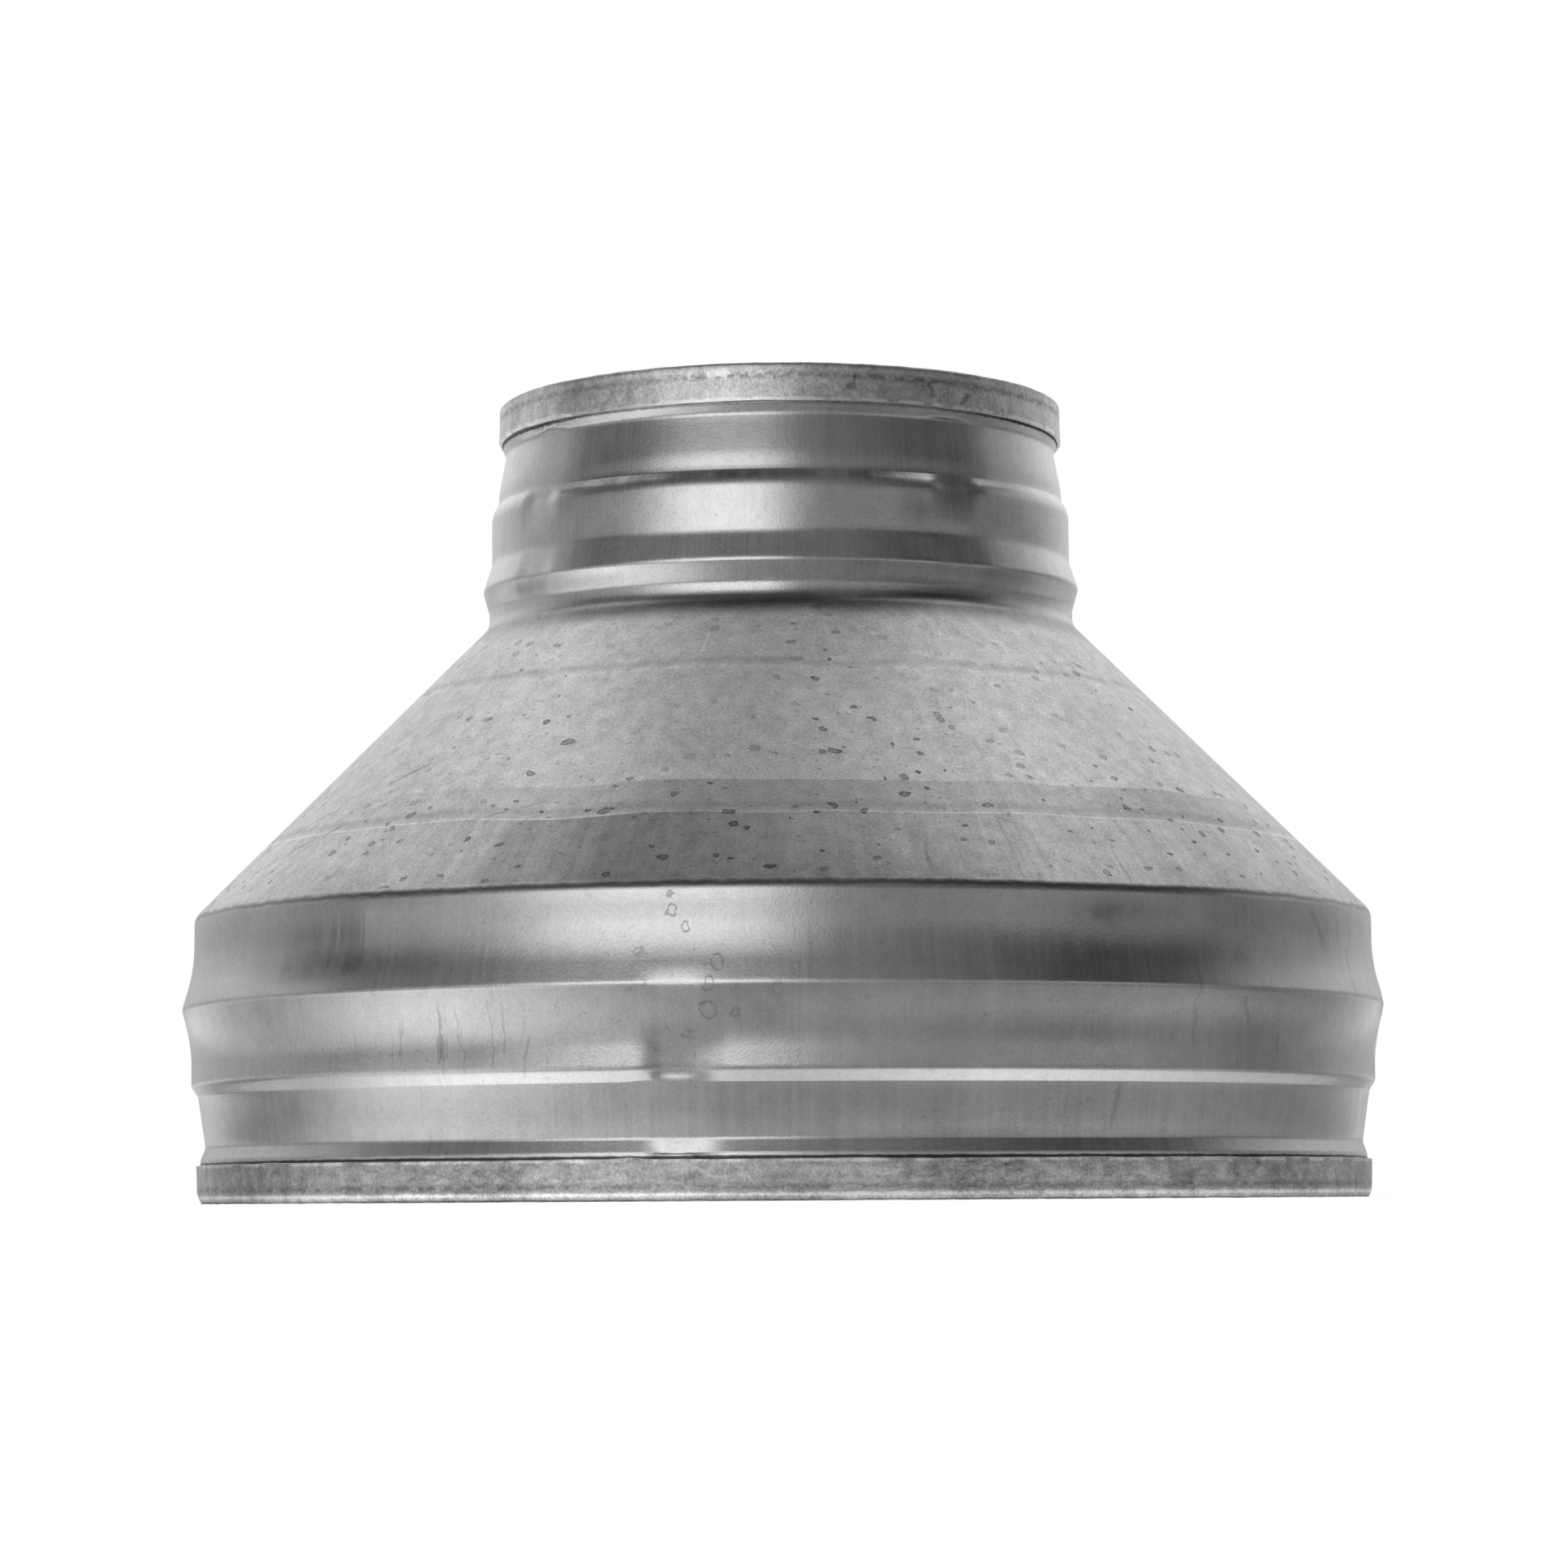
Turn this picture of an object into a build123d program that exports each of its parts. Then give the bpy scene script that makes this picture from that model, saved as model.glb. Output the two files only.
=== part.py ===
from build123d import *
import os
from math import radians, tan

# A round duct reducer, 250 mm to 125 mm, drawn and pressed from one galvanised steel sheet. Sizes are in
# millimetres. It stands on its large rim with its axis on +Z and the middle of that rim at the origin.
# A spigot's depths are radial, measured inwards from its plain zone. Its runs follow each other from its rim.

# Sheet, folded edges and cone
SHEET = 0.6
HEM_GAP = 0.1
HEM_BEVEL = 0.35
HEM_CLEAR = 0.3
CONE_ANGLE = 45.0
CREASE_BEND = 3.2
NECK_BEND = 4.0

# Large spigot: hem, groove, seat, step, plain zone, bead with ramp and flank, and root
LARGE_OD = 248.8
LARGE_HEM_DEPTH = 1.25
LARGE_HEM_WIDTH = 7.9
LARGE_GROOVE_DEPTH = 3.0
LARGE_GROOVE_RUN = 3.0
LARGE_SEAT_DEPTH = 1.45
LARGE_SEAT_RUN = 10.9
LARGE_STEP_RUN = 2.2
LARGE_PLAIN_RUN = 8.1
LARGE_BEAD_HEIGHT = 2.0
LARGE_RAMP_RUN = 7.9
LARGE_ROOT_DEPTH = 0.5
LARGE_FLANK_RUN = 8.5
LARGE_ROOT_RUN = 10.55

# Small spigot, whose root is wider than its plain zone
SMALL_OD = 123.2
SMALL_HEM_DEPTH = 1.7
SMALL_HEM_WIDTH = 8.0
SMALL_GROOVE_DEPTH = 3.1
SMALL_GROOVE_RUN = 1.8
SMALL_SEAT_DEPTH = 1.6
SMALL_SEAT_RUN = 9.6
SMALL_STEP_RUN = 3.2
SMALL_PLAIN_RUN = 10.8
SMALL_BEAD_HEIGHT = 1.85
SMALL_RAMP_RUN = 5.5
SMALL_ROOT_RISE = 0.55
SMALL_FLANK_RUN = 4.6
SMALL_ROOT_RUN = 3.5

# Each spigot is pressed out by four segments that stand apart when they are open. In the gaps between them
# the sheet stays slack: it curves inwards and keeps only a share of the relief of plain zone and bead.
SEGMENTS = 4
GAP_RELIEF = 0.45
LARGE_GAP_CURVE = 30.0
LARGE_GAP_ANGLE = -99.0
SMALL_GAP_CURVE = 20.0
SMALL_GAP_ANGLE = -53.5

# The sheet is turned back outside the wall, with a gap under its free edge
HEM_WALL = SHEET + HEM_GAP


def corners_from_rim(diameter, stations):
    """Corners of the wall's outer face as radius, distance from the rim and bend radius."""
    corners, distance = [], 0
    for depth, run, bend in stations:
        distance += run
        corners.append((diameter / 2 - depth, distance, bend))
    return corners


large_corners = corners_from_rim(
    LARGE_OD,
    [
        (LARGE_HEM_DEPTH + HEM_WALL, LARGE_HEM_WIDTH + HEM_CLEAR, 0),
        (LARGE_GROOVE_DEPTH, LARGE_GROOVE_RUN, 0),
        (LARGE_SEAT_DEPTH, LARGE_SEAT_RUN, 0),
        (0, LARGE_STEP_RUN, 0),
        (0, LARGE_PLAIN_RUN, 0),
        (-LARGE_BEAD_HEIGHT, LARGE_RAMP_RUN, 0),
        (LARGE_ROOT_DEPTH, LARGE_FLANK_RUN, 0),
        (LARGE_ROOT_DEPTH, LARGE_ROOT_RUN, CREASE_BEND),
    ],
)
small_corners = corners_from_rim(
    SMALL_OD,
    [
        (SMALL_HEM_DEPTH + HEM_WALL, SMALL_HEM_WIDTH + HEM_CLEAR, 0),
        (SMALL_GROOVE_DEPTH, SMALL_GROOVE_RUN, 0),
        (SMALL_SEAT_DEPTH, SMALL_SEAT_RUN, 0),
        (0, SMALL_STEP_RUN, 0),
        (0, SMALL_PLAIN_RUN, 0),
        (-SMALL_BEAD_HEIGHT, SMALL_RAMP_RUN, 0),
        (-SMALL_ROOT_RISE, SMALL_FLANK_RUN, 0),
        (-SMALL_ROOT_RISE, SMALL_ROOT_RUN, NECK_BEND),
    ],
)

large_root_radius, large_length, _ = large_corners[-1]
small_root_radius, small_length, _ = small_corners[-1]
cone_length = (large_root_radius - small_root_radius) / tan(radians(CONE_ANGLE))
overall_length = large_length + cone_length + small_length


def from_small_rim(corners):
    """Corners that were measured from the small rim, at their height above the large rim, in upward order."""
    return [(radius, overall_length - distance, bend) for radius, distance, bend in reversed(corners)]


def hem_corners(wall_radius, width):
    """Corners from the fold on the rim, up the outside to the free edge, and down its gap, which closes there."""
    return [
        (wall_radius + HEM_WALL - HEM_BEVEL, 0, 0),
        (wall_radius + HEM_WALL, HEM_BEVEL, 0),
        (wall_radius + HEM_WALL, width, 0),
        (wall_radius + HEM_GAP, width, 0),
        (wall_radius, SHEET, 0),
    ]


def slack_corners(corners):
    """Corners of the outer face in a gap, from the step's foot to beyond the bead, where the face runs out."""
    hem_end, _, step_foot, plain_start, plain_end, crown, root_foot, cone_corner = corners
    slope = (cone_corner[0] - hem_end[0]) / (cone_corner[1] - hem_end[1])
    slack = []
    for radius, distance, bend in (plain_start, plain_end, crown, root_foot):
        straight = hem_end[0] + slope * (distance - hem_end[1])
        slack.append((straight + (radius - straight) * GAP_RELIEF, distance, bend))
    return [(slack[0][0], step_foot[1], 0)] + slack + [(crown[0], cone_corner[1], 0)]


def room_outside_gap(corners, curve):
    """Room in front of the slack sheet, turned about an axis that lies outside the spigot on +X."""
    axis_radius = corners[0][0] + curve
    outline = [(radius, height) for radius, height, _ in corners]
    outline += [(axis_radius, outline[-1][1]), (axis_radius, outline[0][1])]
    with BuildPart() as room:
        with BuildSketch(Plane.XZ):
            with BuildLine():
                Polyline(outline, close=True)
            make_face()
        revolve(axis=Axis((axis_radius, 0, 0), (0, 0, 1)))
    return room.part


large_wall, small_wall = large_corners[0][0], small_corners[0][0]
wall = large_corners + from_small_rim(small_corners)
large_gap = room_outside_gap(slack_corners(large_corners), LARGE_GAP_CURVE)
small_gap = room_outside_gap(from_small_rim(slack_corners(small_corners)), SMALL_GAP_CURVE)

# Form of the sheet's outer face, with the hems
outline = [(0, 0, 0)] + hem_corners(large_wall, LARGE_HEM_WIDTH) + wall
outline += from_small_rim([(0, 0, 0)] + hem_corners(small_wall, SMALL_HEM_WIDTH))
with BuildPart() as outside:
    with BuildSketch(Plane.XZ):
        with BuildLine():
            FilletPolyline([corner[:2] for corner in outline], radius=[corner[2] for corner in outline], close=True)
        make_face()
    revolve(axis=Axis.Z)
    with PolarLocations(0, SEGMENTS, start_angle=LARGE_GAP_ANGLE):
        add(large_gap, mode=Mode.SUBTRACT)
    with PolarLocations(0, SEGMENTS, start_angle=SMALL_GAP_ANGLE):
        add(small_gap, mode=Mode.SUBTRACT)

# Form of the sheet's inner face, one sheet's thickness inside the outer one
face = [(large_wall, HEM_BEVEL, 0)] + wall + [(small_wall, overall_length - HEM_BEVEL, 0)]
with BuildPart() as inside:
    with BuildSketch(Plane.XZ):
        with BuildLine():
            FilletPolyline([corner[:2] for corner in face], radius=[corner[2] for corner in face[1:-1]])
            offset(amount=SHEET, side=Side.LEFT, kind=Kind.INTERSECTION, closed=False)
            Polyline(
                (large_wall - SHEET, HEM_BEVEL),
                (large_wall - SHEET + HEM_BEVEL, 0),
                (0, 0),
                (0, overall_length),
                (small_wall - SHEET + HEM_BEVEL, overall_length),
                (small_wall - SHEET, overall_length - HEM_BEVEL),
            )
        make_face()
    revolve(axis=Axis.Z)
    with PolarLocations(-SHEET, SEGMENTS, start_angle=LARGE_GAP_ANGLE):
        add(large_gap, mode=Mode.SUBTRACT)
    with PolarLocations(-SHEET, SEGMENTS, start_angle=SMALL_GAP_ANGLE):
        add(small_gap, mode=Mode.SUBTRACT)

# The one pressed sheet lies between the two forms
with BuildPart() as reducer_shell:
    add(outside.part)
    add(inside.part, mode=Mode.SUBTRACT)

reducer_shell.part.label = "reducer_shell"
os.makedirs("parts", exist_ok=True)
export_step(reducer_shell.part, "parts/reducer_shell.step")
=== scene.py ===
from math import atan2, cos, degrees, exp, hypot, radians, tan

import bmesh
import bpy
from mathutils import Matrix, Vector, noise


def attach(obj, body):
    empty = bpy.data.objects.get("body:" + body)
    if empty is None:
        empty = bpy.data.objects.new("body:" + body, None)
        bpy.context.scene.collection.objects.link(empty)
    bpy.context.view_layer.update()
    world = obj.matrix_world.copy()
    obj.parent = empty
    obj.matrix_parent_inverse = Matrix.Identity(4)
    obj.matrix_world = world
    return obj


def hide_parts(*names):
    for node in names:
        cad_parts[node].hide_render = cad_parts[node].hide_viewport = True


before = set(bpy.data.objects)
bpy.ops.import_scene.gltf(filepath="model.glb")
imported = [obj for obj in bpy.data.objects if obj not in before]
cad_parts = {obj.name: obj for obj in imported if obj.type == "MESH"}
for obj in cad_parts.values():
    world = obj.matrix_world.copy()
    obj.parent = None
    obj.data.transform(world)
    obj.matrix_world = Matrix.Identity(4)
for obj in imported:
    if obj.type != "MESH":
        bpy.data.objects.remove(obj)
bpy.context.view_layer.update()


# Reducer shell: one galvanised steel sheet, drawn to a cone with a spigot at each end. Both rims are folded
# back outwards to a hem. Four segments pressed each spigot out, and left it slack in the gaps between them.
# Lengths are in millimetres here. Radii are of the sheet's outer face, and heights are above the large rim.
MM = 0.001
SHEET = 0.6
HEM_GAP = 0.1
FOLD_BEND = 0.62
FREE_EDGE_BEND = 0.12
OVERALL = 168.4
LARGE_WALL, LARGE_HEM_WIDTH = 122.45, 7.9
SMALL_WALL, SMALL_HEM_WIDTH = 59.2, 8.0
LARGE_CROWN, CREASE, NECK, SMALL_CROWN = 40.3, 59.35, 121.1, 129.2
SECTOR_STEPS = 16
DOUBLINGS = 5

# Corners of the wall from the large rim to the small one: radius, height, bend radius, rows in the bend, and
# rows in the straight stretch up to the next corner
wall_corners = [
    (LARGE_WALL, 9.0, 1.8, 3, 1),
    (121.4, 11.6, 1.6, 3, 4),
    (122.95, 22.1, 0.8, 2, 2),
    (124.4, 24.3, 1.6, 3, 5),
    (124.4, 32.4, 28.0, 5, 5),
    (126.4, LARGE_CROWN, 2.0, 4, 5),
    (123.9, 48.8, 28.0, 5, 2),
    (123.9, CREASE, 3.2, 5, 6),
    (62.15, NECK, 4.0, 4, 1),
    (62.15, 124.6, 3.0, 2, 3),
    (63.45, SMALL_CROWN, 1.8, 4, 4),
    (61.6, 134.7, 4.0, 3, 5),
    (61.6, 145.4, 5.0, 5, 1),
    (60.2, 147.6, 0.6, 2, 2),
    (60.0, 150.5, 14.0, 3, 3),
    (58.5, 158.3, 2.2, 4, 1),
    (SMALL_WALL, 160.1, 0.6, 2, 1),
]


def hem(wall_radius, rim, up, width):
    """Corners of the hem's outline, from the wall under it, out of its gap, to the rim's fold."""
    free_edge = wall_radius + HEM_GAP
    outside = free_edge + SHEET
    return [
        (wall_radius, rim + up * SHEET, 0, 0, 1),
        (free_edge, rim + up * (SHEET + HEM_GAP), 0, 0, 1),
        (free_edge, rim + up * width, 0, 0, 1),
        (outside, rim + up * width, FREE_EDGE_BEND, 1, 7),
        (outside, rim, FOLD_BEND, 4, 1),
    ]


def inner_corners(corners):
    """The corners one sheet's thickness further in, with bends to match and fewer rows."""
    inner = []
    for before, corner, after in zip(corners, corners[1:], corners[2:]):
        run_in = Vector((corner[0] - before[0], corner[1] - before[1])).normalized()
        run_out = Vector((after[0] - corner[0], after[1] - corner[1])).normalized()
        turn = run_in.angle_signed(run_out)
        inwards = Vector((-run_in.y - run_out.y, run_in.x + run_out.x)).normalized() * SHEET / cos(turn / 2)
        bend = max(corner[2] + (SHEET if turn > 0 else -SHEET), 0.1)
        inner.append((corner[0] + inwards.x, corner[1] + inwards.y, bend, max(corner[3] // 2, 1), 1))
    return inner


# The outline runs up the outside, from the large hem's fold, and back down the inside. The large hem's
# corners are taken from the fold to the wall, so each gets the rows of the stretch that now follows it.
large_hem = hem(LARGE_WALL, 0, 1, LARGE_HEM_WIDTH)
small_hem = hem(SMALL_WALL, OVERALL, -1, SMALL_HEM_WIDTH)
outline = [(*corner[:4], after[4]) for corner, after in zip(large_hem[::-1], large_hem[-2::-1])]
outline += [large_hem[0]] + wall_corners + small_hem
outline += [(SMALL_WALL - SHEET, OVERALL, FOLD_BEND, 3, 2)]
outline += inner_corners([large_hem[0]] + wall_corners + [small_hem[0]])[::-1]
outline += [(LARGE_WALL - SHEET, 0, FOLD_BEND, 3, 1)]

# How far each bend reaches from its corner: less than half of the shorter run beside it
reaches = []
for before, corner, after in zip(outline[-1:] + outline, outline, outline[1:] + outline[:1]):
    run_in, run_out = Vector(corner[:2]) - Vector(before[:2]), Vector(after[:2]) - Vector(corner[:2])
    full_reach = corner[2] * tan(run_in.angle(run_out) / 2)
    reaches.append(min(full_reach, 0.49 * run_in.length, 0.49 * run_out.length))

# Each corner is followed by points between its bend and the next one, which give the rows of the run
points = []
for index, (radius, height, _, bend_rows, run_rows) in enumerate(outline):
    after = (index + 1) % len(outline)
    points.append((radius, height, reaches[index], bend_rows))
    run = Vector(outline[after][:2]) - Vector((radius, height))
    straight = run.length - reaches[index] - reaches[after]
    for row in range(1, run_rows):
        off = reaches[index] + straight * (row - 0.5) / (run_rows - 1)
        points.append((*(Vector((radius, height)) + run.normalized() * off), 0, 0))

# The outline is bent at its corners and spun through a small sector, which is then doubled to the full turn
shape = bmesh.new()
ring = [shape.verts.new((radius * MM, 0, height * MM)) for radius, height, _, _ in points]
for pair in zip(ring, ring[1:] + ring[:1]):
    shape.edges.new(pair)
for vert, (_, _, reach, rows) in zip(ring, points):
    if reach:
        bmesh.ops.bevel(shape, geom=[vert], offset=reach * MM, offset_type="OFFSET", affect="VERTICES",
                        segments=rows, profile=0.5, material=-1)
sector = radians(360) / 2**DOUBLINGS
bmesh.ops.spin(shape, geom=shape.verts[:] + shape.edges[:], cent=(0, 0, 0), axis=(0, 0, 1), angle=sector,
               steps=SECTOR_STEPS)
for doubling in range(DOUBLINGS):
    copied = bmesh.ops.duplicate(shape, geom=shape.verts[:] + shape.edges[:] + shape.faces[:])["geom"]
    bmesh.ops.rotate(shape, verts=[item for item in copied if isinstance(item, bmesh.types.BMVert)],
                     cent=(0, 0, 0), matrix=Matrix.Rotation(sector * 2**doubling, 3, "Z"))
bmesh.ops.remove_doubles(shape, verts=shape.verts[:], dist=0.001 * MM)

# Where the spigots and their hems begin and end, and the angles of one gap on each from the front
LARGE_END, SMALL_START = 60, 122
LARGE_HEM_TOP, SMALL_HEM_FOOT = 8.15, 160.25
LARGE_GAP, SMALL_GAP, GAP_SPACING = -9, 36.5, 90

# In the middle of a gap the sheet is shifted outwards by these lengths at these heights
large_slack = [(0, 8.05), (-0.85, 8.9), (0, 11.7), (0, 21.9), (-1.3, 24.3), (-1.05, 26), (0, 33)]
small_slack = [(0, 124), (-0.5, SMALL_CROWN), (-0.3, 132), (0, 135), (0, 138), (-0.3, 142), (-0.75, 145.4),
               (0, 147.8), (0, 158.2), (-0.45, 159.7), (0, 160.4)]
# At the front the sheet's forms lie lower by these lengths at these heights
front_drop = [(0, 50), (0.5, 59.4), (0, 64), (0, 116), (0.8, 122), (1.2, 129), (0.9, 134), (1.2, 146),
              (0.4, 153), (0, 157)]
# Wrinkles of the small hem, each an angle from the front, a width in degrees and a depth
wrinkles = [(-50, 1.6, -0.35), (14.2, 0.9, 0.25), (31.5, 1.0, 0.3), (39.5, 1.3, 0.35)]


def eased(value, start, end):
    """A smooth rise from 0 at start to 1 at end."""
    share = min(max((value - start) / (end - start), 0), 1)
    return share * share * (3 - 2 * share)


def bump_at(value, middle, width):
    return exp(-((value - middle) / width) ** 2)


def through(shifts, height):
    """A length at a height, which runs smoothly through lengths at heights."""
    for (length, low), (next_length, high) in zip(shifts, shifts[1:]):
        if height < high:
            return length + (next_length - length) * eased(height, low, high)
    return shifts[-1][0]


def from_gap(turn, gap):
    """Degrees from the middle of the nearest gap."""
    return (turn - gap + GAP_SPACING / 2) % GAP_SPACING - GAP_SPACING / 2


def crumple(direction, size, height, seed):
    """Noise from -1 to 1 that runs round the shell without a seam, with lumps of about one unit of size."""
    return noise.noise(Vector((direction.x * size, direction.y * size, height / 10 + seed)))


for vert in shape.verts:
    radius, height = hypot(vert.co.x, vert.co.y) / MM, vert.co.z / MM
    direction = Vector((vert.co.x, vert.co.y)).normalized()
    turn = degrees(atan2(direction.x, -direction.y))
    lift = -through(front_drop, height) * max(cos(radians(turn)), 0)

    # Slack sheet in the gaps, with a rounder crown there and a raised corner at the large seat's end
    if height < LARGE_END:
        off = from_gap(turn, LARGE_GAP)
        slackness = eased(off, -3.5, -1.5) * (1 - eased(off, 0.4, 4.8))
        radius += slackness * through(large_slack, height)
        radius -= 0.42 * slackness * max(1 - hypot(height - LARGE_CROWN, 0.6) / 3.2, 0) ** 2
        lift += 0.3 * bump_at(off, -3.3, 1.2) * bump_at(height, 22.1, 2)
    elif height > SMALL_START:
        off = from_gap(turn, SMALL_GAP)
        radius += eased(off, -7.5, -2.5) * (1 - eased(off, 1.5, 6.5)) * through(small_slack, height)

    # Hems: uneven walls and folds, and a free edge that wavers. The large fold is rounder at both sides.
    if height < LARGE_HEM_TOP:
        radius += 0.1 * crumple(direction, 9, height, 3) * eased(height, 0.5, 3)
        if radius > LARGE_WALL + 0.3:
            ramp = eased(height, 1.5, LARGE_HEM_WIDTH)
            lift += ramp * (0.16 * crumple(direction, 14, 0, 7) + 0.35 * bump_at(turn, -13.3, 1.3))
            rounded = 0.9 * bump_at(turn, -88, 32) + 0.5 * bump_at(turn, 88, 30)
            radius += 0.1 * ramp - rounded * (1 - eased(height, -0.4, 2.4))
        lift += 0.08 * (1 + crumple(direction, 40, 0, 1)) * (1 - eased(height, 0.3, 3))
    if height > SMALL_HEM_FOOT:
        radius += 0.12 * crumple(direction, 5, height, 5) * (1 - eased(height, 165, 168))
        if radius > SMALL_WALL + 0.3:
            ramp = 1 - eased(height, 160.4, 166)
            raised = 1.1 * eased(turn, -150, -130) * (1 - eased(turn, -49, -43))
            lift += ramp * (0.15 * crumple(direction, 7, 0, 9) + raised)
            radius += 0.15 * ramp
            radius -= sum(depth * bump_at(turn, angle, width) for angle, width, depth in wrinkles) * ramp
        lift -= 0.1 * (1 + crumple(direction, 16, 0, 2)) * eased(height, 165, 168)

    radius -= 0.05 * (1 + crumple(direction, 3, height / 3, 11))
    vert.co = Vector((direction.x * radius, direction.y * radius, height + lift)) * MM

bmesh.ops.recalc_face_normals(shape, faces=shape.faces[:])
mesh = bpy.data.meshes.new("reducer_shell_sheet")
shape.to_mesh(mesh)
shape.free()
mesh.shade_smooth()
mesh.set_sharp_from_angle(angle=radians(32))
shell = bpy.data.objects.new("reducer_shell_sheet", mesh)
bpy.context.scene.collection.objects.link(shell)


class Wire:
    """A node's output, which takes part in sums as a number does."""

    def __init__(self, socket):
        self.socket = socket

    def node(self, kind, settings, inputs, output=0):
        """A new node of the kind with its settings and its inputs' values or wires, as one of its outputs."""
        made = self.socket.id_data.nodes.new(kind)
        for name, value in settings.items():
            setattr(made, name, value)
        for name, value in inputs.items():
            if isinstance(value, Wire):
                self.socket.id_data.links.new(value.socket, made.inputs[name])
            else:
                made.inputs[name].default_value = value
        return Wire(made.outputs[output])

    def maths(self, operation, first, second=0.0):
        return self.node("ShaderNodeMath", {"operation": operation}, {0: first, 1: second})

    def __add__(self, other):
        return self.maths("ADD", self, other)

    def __sub__(self, other):
        return self.maths("SUBTRACT", self, other)

    def __mul__(self, other):
        return self.maths("MULTIPLY", self, other)

    def __truediv__(self, other):
        return self.maths("DIVIDE", self, other)

    def __rsub__(self, other):
        return self.maths("SUBTRACT", other, self)

    def __abs__(self):
        return self.maths("ABSOLUTE", self)

    __radd__ = __add__
    __rmul__ = __mul__

    def eased(self, start, end):
        """A smooth rise from 0 at start to 1 at end."""
        return self.node("ShaderNodeMapRange", {"interpolation_type": "SMOOTHSTEP"},
                         {"Value": self, "From Min": start, "From Max": end})

    def near(self, middle, width):
        """1 at the middle, falling smoothly to 0 at the width from it."""
        return 1 - abs(self - middle).eased(0, width)

    def mixed(self, low, high):
        """low where this is 0 and high where it is 1."""
        return self.node("ShaderNodeMix", {"data_type": "FLOAT"}, {0: self, 2: low, 3: high})


def vector(first, second, third=0.0):
    return first.node("ShaderNodeCombineXYZ", {}, {0: first, 1: second, 2: third})


def grey(level):
    return level.node("ShaderNodeCombineColor", {}, {0: level, 1: level, 2: level})


def off_axis(right, deep):
    """The distance from the upright axis."""
    return right.node("ShaderNodeVectorMath", {"operation": "LENGTH"}, {0: vector(right, deep)}, 1)


def turned(right, deep):
    """The angle from the front, in degrees, which grows to the right."""
    return right.maths("ARCTAN2", right, 0 - deep) * degrees(1)


steel = bpy.data.materials.new("galvanised_steel")
steel.use_nodes = True
surface = steel.node_tree.nodes["Principled BSDF"]
position = Wire(steel.node_tree.nodes.new("ShaderNodeTexCoord").outputs["Object"])
across, along, height = (position.node("ShaderNodeSeparateXYZ", {}, {0: position}, axis) * (1 / MM)
                         for axis in range(3))
in_millimetres = vector(across, along, height)
reach_out = off_axis(across, along)
around = turned(across, along)


def noise_of(scale, detail, at=in_millimetres):
    """Cloudy noise about 0, mostly from -0.2 to 0.2, with lumps of 1 / scale."""
    return at.node("ShaderNodeTexNoise", {}, {"Vector": at, "Scale": scale, "Detail": detail}, "Fac") - 0.5


def drawn(lumps_around, lump_height, shift=0.0):
    """A place for noise that is drawn out along the sheet's slope, or round it where the lumps are flat."""
    return vector(across / reach_out * lumps_around + shift, along / reach_out * lumps_around,
                  height / lump_height)


def spots(size, spacing, share, at, rim):
    """Scattered blots of about a size in mm: how far each is filled, and its outline alone."""
    cells = at.node("ShaderNodeTexVoronoi", {}, {"Vector": at, "Scale": 1 / spacing}, "Distance")
    chance = Wire(cells.socket.node.outputs["Color"])
    red, green = (chance.node("ShaderNodeSeparateColor", {}, {0: chance}, channel) for channel in (0, 1))
    beyond = cells * spacing - size * (0.4 + 1.1 * green)
    there = red.maths("GREATER_THAN", red, 1 - share)
    body = (1 - beyond.eased(-0.15, 0.15)) * there
    return body, body - (1 - beyond.eased(-0.15 - rim, 0.05 - rim)) * there


def scratch(start, end, width, waves):
    """A scratch between two places, each an angle round the sheet and a height, with waves off its line."""
    radius = 124 if start[1] < LARGE_END else max(183 - start[1], 60)
    per_degree = radians(1) * radius
    run = Vector(((end[0] - start[0]) * per_degree, end[1] - start[1]))
    ahead = run.normalized()
    right, up = (around - start[0]) * per_degree, height - start[1]
    reached = right * ahead.x + up * ahead.y
    inside = reached.eased(-0.6, 0.6) * (1 - reached.eased(run.length - 0.6, run.length + 0.6))
    return (up * ahead.x - right * ahead.y + mottle * waves).near(0, width) * inside


# Where each part of the sheet lies. Lines that run round the cone waver a little in height.
wavering = height + noise_of(3, 1, drawn(1, 100)) * 3
cone = height.eased(58.8, 60.2) * (1 - height.eased(119, 121.5))
is_small = height.eased(80, 90)
from_rim = is_small.mixed(height, OVERALL - height)
hems = 1 - from_rim.eased(8.0, 8.4)
collars = (1 - cone) * (1 - hems)
front = around.near(-3, 62)

# Zinc clouds and grain, lines from drawing, scuffs round the hems, and corrosion spots and ring stains
clouds = noise_of(0.03, 3)
mottle = noise_of(0.3, 4)
grain = noise_of(1.9, 2)
draw = noise_of(1, 2, drawn(110, 60))
wide_draw = noise_of(1, 2, drawn(16, 45, 7))
scuffs = noise_of(1, 3, drawn(45, 1.3, 3))
stained = around.near(-7, 13) * height.eased(24, 27) * (1 - height.eased(57, 59))
uneven = vector(across + mottle * 5, along + grain * 0.8, height * cone.mixed(0.75, 1.4) + clouds * 6)
blots, rims = spots(cone.mixed(1.1, 0.8), 4.0, 0.65, uneven, 0.25)
specks, _ = spots(0.28, 1.8, 0.6, uneven, 0.1)
crowded = 0.35 + 1.2 * (clouds + height.near(72, 30) * 0.15).eased(-0.1, 0.2)

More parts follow.
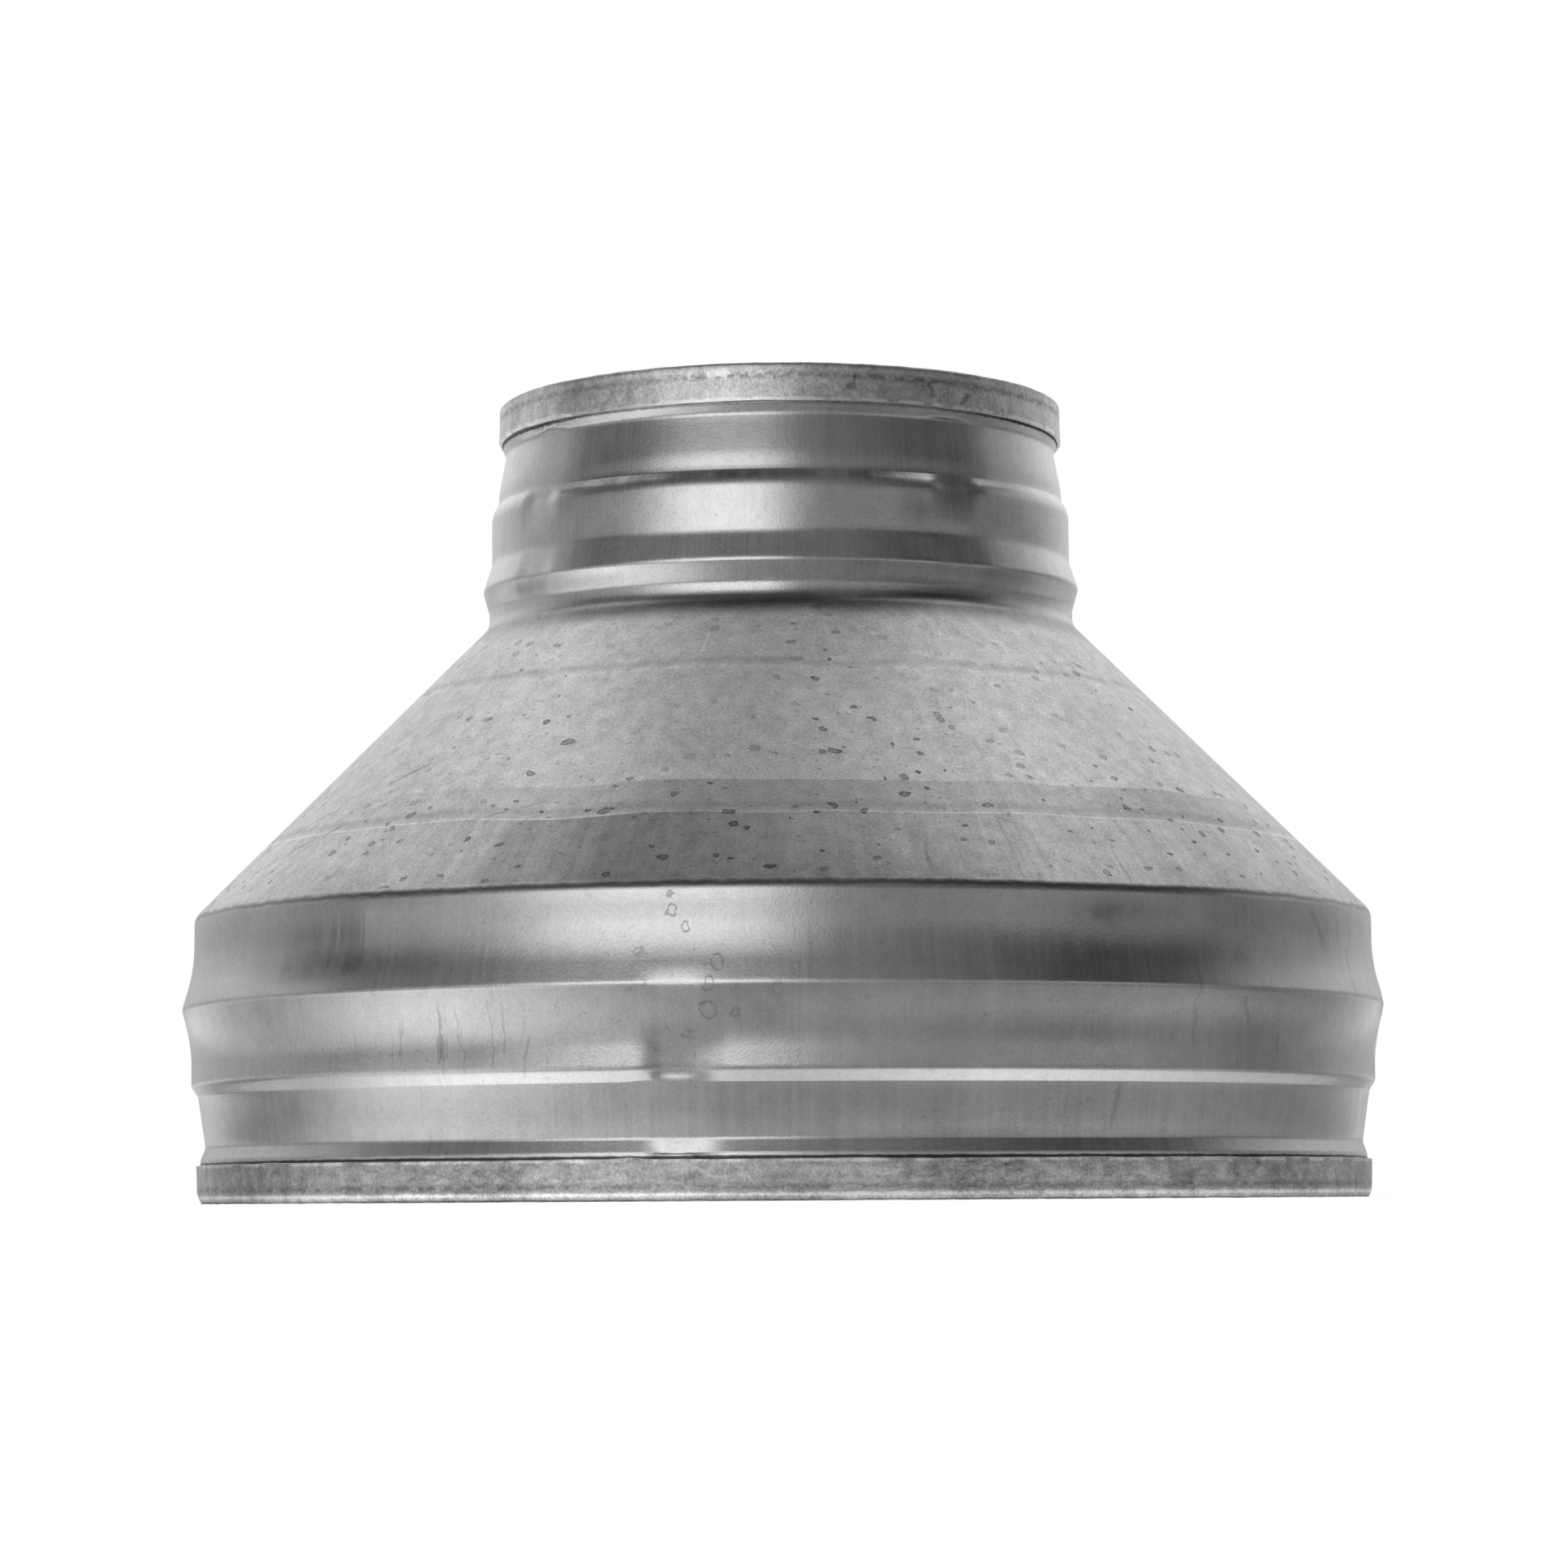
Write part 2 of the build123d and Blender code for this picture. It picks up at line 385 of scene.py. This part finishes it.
# Colour: an even grey, darkened and lightened by clouds, lines, spots and stains
shade = 1 + clouds * cone.mixed(0.5, 0.7) + mottle * cone.mixed(0.25, 0.6) + grain * cone.mixed(0.35, 0.8)
shade = (shade + draw * collars * 0.12) * cone.mixed(1, 1.04)
shade *= 1 - cone * (0.3 * blots + 0.2 * rims + 0.24 * specks) * crowded
shade *= (1 - 0.4 * rims * stained) * (1 - 0.12 * specks * collars)
cracks = (draw + mottle * 0.6).eased(0.12, 0.2) * height.near(30, 12) * around.near(-30, 32)
smear = (draw + wide_draw).eased(-0.02, 0.12) * height.near(52, 8)
smear *= around.near(-42, 10) + around.near(66, 12)
shade *= 1 - 0.25 * cracks - 0.3 * smear

# Patches of painted shade, some of them also dirt, and one painted highlight
# Each: height, reach up and down, angle, reach round, and depth, which is negative for the painted highlight
painted_shade_and_dirt_patches = [
    (45.5, 5, -43, 20, 0.5), (51, 6, -49, 12, 0.2), (46, 6, 46, 24, 0.3), (28, 6, -33, 26, 0.22),
    (54, 6, 30, 11, 0.4), (145.6, 2.2, -10, 54, 0.5), (145.6, 2.2, -31, 16, 0.22), (145.6, 2.2, 19, 13, 0.22),
    (126.8, 2, 46, 22, 0.2), (126, 3, -56, 12, 0.4), (139, 6, 27, 7, 0.35), (127.2, 1.6, -37, 13, -0.25),
]
painted_shade_and_dirt = sum(depth * height.near(middle, reach) * around.near(angle, width)
           for middle, reach, angle, width, depth in painted_shade_and_dirt_patches)
shade *= 1 - painted_shade_and_dirt * (1 + mottle * 1.5 + wide_draw * 1.5)

# Rings round the cone, from the top: one from drawing with a bright edge, the upper tidemark with painted
# shade below it that deepens toward the front, the lower one with a dark and a bright line, and below it
# painted shade with streaks
shade *= 1 - 0.2 * wavering.near(105.6, 1.3) * (0.7 + wide_draw * 3)
shade *= 1 + 0.08 * wavering.near(104.1, 0.5)
below_upper = cone * (1 - wavering.eased(79.6, 80.1))
above_lower = wavering.eased(72.8, 73.2)
# Painted shade below the upper tidemark, deeper toward the front
shade *= (1 - below_upper * (0.08 + 0.24 * front)) * (1 - 0.15 * wavering.near(74.6, 1.3))
shade *= 1 - 0.28 * around.near(46, 32) * below_upper * above_lower
shade *= 1 + 0.3 * wavering.near(73.1, 0.3)
# Painted shade on the cone below the lower tidemark, mostly at the front left, with streaks
painted_shade_and_streaks = 0.4 * around.near(-18, 24) + 0.16 * around.near(48, 80) + draw * 0.15 + wide_draw * 0.4 - 0.02
shade *= 1 - cone * (1 - above_lower) * painted_shade_and_streaks

# Painted shade in the neck and the crease, and painted light and shade that make the collars lighter or
# darker at some heights
shade *= 1 - (0.3 + 0.5 * front) * wavering.near(119.2, 3.9)
shade *= 1 - 0.6 * height.near(122.6, 3) * around.near(33, 20)
shade *= 1 - 0.6 * (height + mottle).near(58.9, 0.9)
shade *= (1 + 0.15 * height.near(36, 5)) * (1 - 0.12 * height.near(16, 8)) * (1 - 0.1 * height.near(54, 8))

# Hems: painted shadow in the slit under the free edge, painted highlights along that edge and the large hem's
# fold, and dirt above the fold
under = reach_out - is_small.mixed(LARGE_WALL, SMALL_WALL)
painted_slit_shadow = (1 - under.eased(0.15, 0.35)) * from_rim.eased(6.5, 7.0)
painted_slit_shadow *= 1 - (from_rim + scuffs * 0.5).eased(8.3, 8.6)
fold = is_small.mixed(0.9, 0.0) * from_rim.near(1.25, 0.6)
fold -= 0.45 * (scuffs + 0.15).eased(0, 0.2) * from_rim.near(2.7, 1.2)
fold -= is_small.mixed(0.2, 0.0) * around.near(-32, 26)
fold -= is_small.mixed(0.5, 0.0) * from_rim.near(4.6, 2.6) * around.near(38.5, 2.4)
# Painted light on the small hem's left and painted shade on its right
fold += is_small * (0.45 * around.near(-56, 14) + 0.25 * around.near(-30, 14) - 0.25 * around.near(28, 16))
fold += is_small * 0.8 * mottle.eased(0.05, 0.11) * around.near(-10, 18) * from_rim.near(2.2, 1.3)
# A painted highlight along the small hem's free edge
fold += is_small * 0.8 * around.near(-16, 34) * from_rim.near(7.7, 0.45)
hem_shade = is_small.mixed(0.7, 1.05) + clouds * 0.7 + scuffs * 0.7 + mottle * 0.5 + grain * 0.6
hem_shade -= 0.25 * blots * (0.3 + clouds * 2)
# A painted highlight along both free edges, broken up by noise
hem_shade *= 1 + fold + 0.6 * (wide_draw + 0.1).eased(0, 0.1) * from_rim.near(7.5, 0.5)
# Painted shade along the rims' folds
hem_shade *= 1 - 0.4 * (1 - from_rim.eased(0.1, is_small.mixed(0.7, 1.5)))
shade *= hems.mixed(1, hem_shade)
# Painted shadow in the slit under the free edge, weaker at the small hem's front
shade *= 1 - (0.85 - 0.45 * is_small * (1 - abs(around).eased(30, 60))) * painted_slit_shadow

# Scratches, streaks and nicks: both ends as angle and height, width, depth, and how much they wave. The one
# with a negative depth is bright.
scratches = [
    ((-70, 64), (-53, 75), 0.3, 0.35, 0), ((-62, 65), (-54, 74.5), 0.3, 0.4, 0),
    ((-74, 70), (-58, 79), 0.35, 0.3, 0), ((-51.5, 83), (-46, 87), 0.5, 0.4, 0),
    ((39, 45), (39, 29), 0.7, 0.16, 3), ((45, 38.5), (46, 33.5), 0.9, 0.22, 2),
    ((50.5, 31), (50.5, 28), 0.8, 0.25, 0), ((31, 21.5), (30.5, 13), 0.9, 0.2, 2),
    ((57.5, 56.5), (60.5, 49), 1.4, 0.2, 4), ((66, 50), (65.5, 40), 1.6, 0.18, 4),
    ((-29.5, 36), (-28.8, 24), 0.5, 0.2, 4), ((-22.5, 31), (-23, 23), 0.5, 0.2, 2),
    ((13.5, 67), (13, 63), 0.5, 0.25, 3), ((33, 69), (32.5, 60), 0.5, 0.2, 3),
    ((-33.5, 73), (-25, 76.5), 0.25, 0.3, 0), ((-31.4, 26), (-31.2, 37), 0.25, 0.3, 2),
    ((-25.9, 25), (-26.1, 38), 0.25, 0.25, 2), ((-12, 108), (-11.5, 112), 0.25, -0.4, 0),
    # The last three are painted shade in the grooves of the small hem's wrinkles
    ((14.3, 162.8), (14.7, 166.3), 0.9, 0.5, 6), ((31.4, 162.2), (30.4, 165.8), 1.05, 0.45, 6),
    ((38.2, 161.6), (40.6, 163.8), 1.0, 0.4, 0),
]
for start, end, width, depth, waves in scratches:
    shade *= 1 - scratch(start, end, width, waves) * depth

# The cone is duller than the collars, and the hems are scuffed
STEEL_GREY = 0.7
BUMP_HEIGHT = 0.1
roughness = cone.mixed(0.27, 0.47) + hems * 0.12 + clouds * 0.25 + draw * 0.12 + scuffs * hems * 0.3
roughness += cone * (1 - wavering.eased(79.7, 80.1)) * -0.06 + rims * stained * 0.1
relief = grain * 0.5 + scuffs * hems * 1.5 - wavering.near(105.4, 1) * 1.2
bump = relief.node("ShaderNodeBump", {}, {"Strength": 0.4, "Distance": BUMP_HEIGHT * MM, "Height": relief},
                   "Normal")
colour = grey(shade * STEEL_GREY)
for wire, name in ((colour, "Base Color"), (roughness, "Roughness"), (bump, "Normal")):
    steel.node_tree.links.new(wire.socket, surface.inputs[name])
surface.inputs["Metallic"].default_value = 1
mesh.materials.append(steel)
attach(shell, "root")
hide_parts("reducer_shell")


# Floor: a wide pale sheet that the reducer stands on, which shows the reducer's shadow and glows a little
# itself, as a lit backdrop does. Its size is in metres.
FLOOR_SIZE = 12


def set_sockets(shader, values):
    for name, value in values.items():
        shader.inputs[name].default_value = value


bpy.ops.mesh.primitive_plane_add(size=FLOOR_SIZE)
ground = bpy.context.object
ground.name = "studio_floor"
pale = bpy.data.materials.new("pale_floor")
pale.use_nodes = True
pale.cycles.emission_sampling = "NONE"
set_sockets(pale.node_tree.nodes["Principled BSDF"], {
    "Base Color": (0.97, 0.97, 0.97, 1), "Roughness": 1, "Specular IOR Level": 0,
    "Emission Color": (1, 1, 1, 1), "Emission Strength": 0.1,
})
ground.data.materials.append(pale)


# Studio: the surroundings that the steel reflects, which nothing else in the picture sees. A dome about the
# reducer is mid grey at the front, dark above that, and light overhead and behind, with a soft light left of
# the camera. A disc just above the floor gives the floor's reflection. Both sizes are in metres.
DOME = 2.2
DISC_HEIGHT = 0.0005


def surroundings(name, shape):
    """A glowing stage piece that only reflections show, with its position in metres as three wires."""
    made = bpy.data.objects.new(name, bpy.data.meshes.new(name))
    shape.to_mesh(made.data)
    shape.free()
    bpy.context.scene.collection.objects.link(made)
    made.visible_camera = made.visible_diffuse = made.visible_shadow = False
    glow = bpy.data.materials.new(name)
    glow.use_nodes = True
    glow.cycles.emission_sampling = "NONE"
    made.data.materials.append(glow)
    at = Wire(glow.node_tree.nodes.new("ShaderNodeTexCoord").outputs["Object"])
    return glow, [at.node("ShaderNodeSeparateXYZ", {}, {0: at}, axis) for axis in range(3)]


def glowing(material, brightness):
    """Gives the material a grey glow of the brightness and no other light."""
    shader = material.node_tree.nodes["Principled BSDF"]
    set_sockets(shader, {"Base Color": (0, 0, 0, 1), "Specular IOR Level": 0, "Emission Strength": 1})
    material.node_tree.links.new(grey(brightness).socket, shader.inputs["Emission Color"])


dome = bmesh.new()
bmesh.ops.create_uvsphere(dome, u_segments=64, v_segments=48, radius=DOME)
bmesh.ops.bisect_plane(dome, geom=dome.verts[:] + dome.edges[:] + dome.faces[:], plane_co=(0, 0, 0),
                       plane_no=(0, 0, 1), clear_inner=True)
dome_glow, (right, deep, up) = surroundings("studio_dome", dome)
right, deep, up = right / DOME, deep / DOME, up / DOME
bearing = turned(right, deep)
aside = abs(bearing)
rise = up.maths("ARCSINE", up) * degrees(1)

# Front: mid grey low down and dark above, the soft light, and a paler edge and top at the sides
low = (0.3 - 0.13 * bearing.eased(64, 96) + 0.08 * bearing.near(54, 34)) * (1 - 0.35 * bearing.near(-75, 50))
dark = 0.14 - 0.06 * bearing.eased(-40, 40) - 0.03 * bearing.near(64, 22) + 0.07 * bearing.near(24, 34)
ahead = rise.eased(8, 20).mixed(low, dark)
soft_light = bearing.eased(-66, -30) + 0.14 * bearing.near(-70, 28) * (1 - rise.eased(14, 22))
soft_light *= (1 - bearing.eased(-8, 8)) * rise.eased(-4, 7)
ahead += soft_light * rise.eased(18, 30).mixed(1.1, 0.4) * (1 - rise.eased(30, 40))
ahead += 0.25 * aside.eased(88, 100) * rise.eased(9, 18) * (1 - rise.eased(28, 38))
ahead += 0.14 * aside.eased(50, 80) * rise.eased(38, 48)

# Behind and overhead: light, with a dimmer round patch overhead
behind = rise.eased(2, 25).mixed(0.54, 1.1)
patch = off_axis(right + 0.1, deep - 0.13)
overhead = 0.62 + 0.45 * abs(right).eased(0.12, 0.5) - 0.38 * (1 - patch.eased(0, 0.3))
top = deep.eased(-0.22, -0.03) * rise.eased(40, 56)
glowing(dome_glow, top.mixed(aside.eased(98, 165).mixed(ahead, behind), overhead))

# Floor's reflection: brighter beside the reducer than in its shade, and even at the back
disc = bmesh.new()
bmesh.ops.create_circle(disc, cap_ends=True, segments=64, radius=DOME)
bmesh.ops.translate(disc, verts=disc.verts[:], vec=(0, 0, DISC_HEIGHT))
disc_glow, (right, deep, _) = surroundings("studio_floor_reflection", disc)
bearing = turned(right, deep)
away = off_axis(right, deep) / MM
near = 0.6 + 0.75 * bearing.near(-30, 34) + 0.4 * bearing.near(28, 34)
far = 0.22 + 0.6 * (bearing + (away - 175) * 0.04).near(-46, 44) + 0.08 * bearing.near(56, 44)
far *= away.eased(240, 320).mixed(1, bearing.eased(-15, 40).mixed(1.3, 0.6))
ahead = away.eased(138, 168).mixed(near, far)
glowing(disc_glow, abs(bearing).eased(80, 150).mixed(ahead, 0.85 - 0.25 * bearing.near(110, 62)))

world = bpy.data.worlds.new("studio")
world.use_nodes = True
world.node_tree.nodes["Background"].inputs["Color"].default_value = (1, 1, 1, 1)
bpy.context.scene.world = world
bpy.context.scene.view_settings.view_transform = "Standard"


# Camera: at the height of the large rim, looking slightly up, as the photograph was taken. Its place is in
# millimetres, and its angles are in degrees.
FOCAL_PIXELS = 5618.9
FRAME_PIXELS = 1932
SENSOR = 36.0
CAMERA_PLACE = (0.45, -966.9, 0.33)
TILT_UP, ROLL = 5.20, -0.372

camera_data = bpy.data.cameras.new("camera")
camera_data.sensor_width = SENSOR
camera_data.lens = FOCAL_PIXELS / FRAME_PIXELS * SENSOR
camera_data.clip_start = 0.001
camera = bpy.data.objects.new("camera", camera_data)
camera.location = Vector(CAMERA_PLACE) * MM
camera.rotation_euler = (radians(90 + TILT_UP), 0, 0)
camera.rotation_euler.rotate_axis("Z", radians(ROLL))
bpy.context.scene.collection.objects.link(camera)
bpy.context.scene.camera = camera
